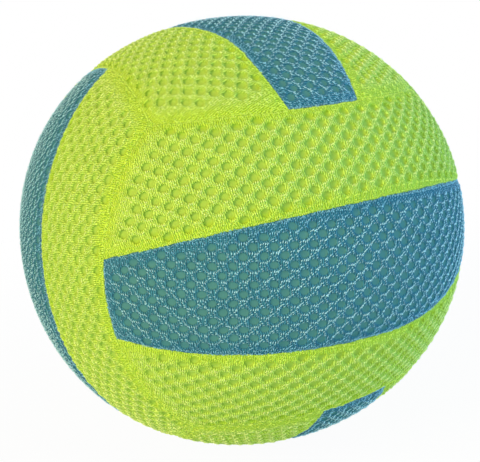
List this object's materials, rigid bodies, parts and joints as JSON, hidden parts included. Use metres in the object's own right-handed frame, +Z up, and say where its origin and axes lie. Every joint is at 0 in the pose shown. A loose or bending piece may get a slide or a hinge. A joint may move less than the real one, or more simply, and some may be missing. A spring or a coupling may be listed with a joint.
{
  "type": "soft mesh ball",
  "caption": "Soft round sports ball: a puffy spacer-mesh cover of interlocking lime and blue strips, sewn over an air bladder with a needle valve, for batting, throwing and catching.",
  "frame": {"origin": "centre of the ball", "axes": "+Z up, from the flat that the ball stands on through the middle of the top group; the front group, whose strips run along X, faces -Y; the valve is on +Y"},
  "size_m": [0.2108, 0.2105, 0.2012],
  "materials": {
    "lime_mesh": "matte",
    "blue_mesh": "matte",
    "bladder_rubber": "satin",
    "housing_rubber": "matte",
    "core_rubber": "satin"
  },
  "bodies": {
    "root": {"front_blue_panel": "blue_mesh", "front_upper_lime_panel": "lime_mesh", "front_lower_lime_panel": "lime_mesh", "back_blue_panel": "blue_mesh", "back_upper_lime_panel": "lime_mesh", "back_lower_lime_panel": "lime_mesh", "top_blue_panel": "blue_mesh", "top_left_lime_panel": "lime_mesh", "top_right_lime_panel": "lime_mesh", "bottom_blue_panel": "blue_mesh", "bottom_left_lime_panel": "lime_mesh", "bottom_right_lime_panel": "lime_mesh", "left_blue_panel": "blue_mesh", "left_front_lime_panel": "lime_mesh", "left_back_lime_panel": "lime_mesh", "right_blue_panel": "blue_mesh", "right_front_lime_panel": "lime_mesh", "right_back_lime_panel": "lime_mesh", "bladder": "bladder_rubber", "valve_housing": "housing_rubber", "valve_core": "core_rubber"}
  },
  "joints": []
}
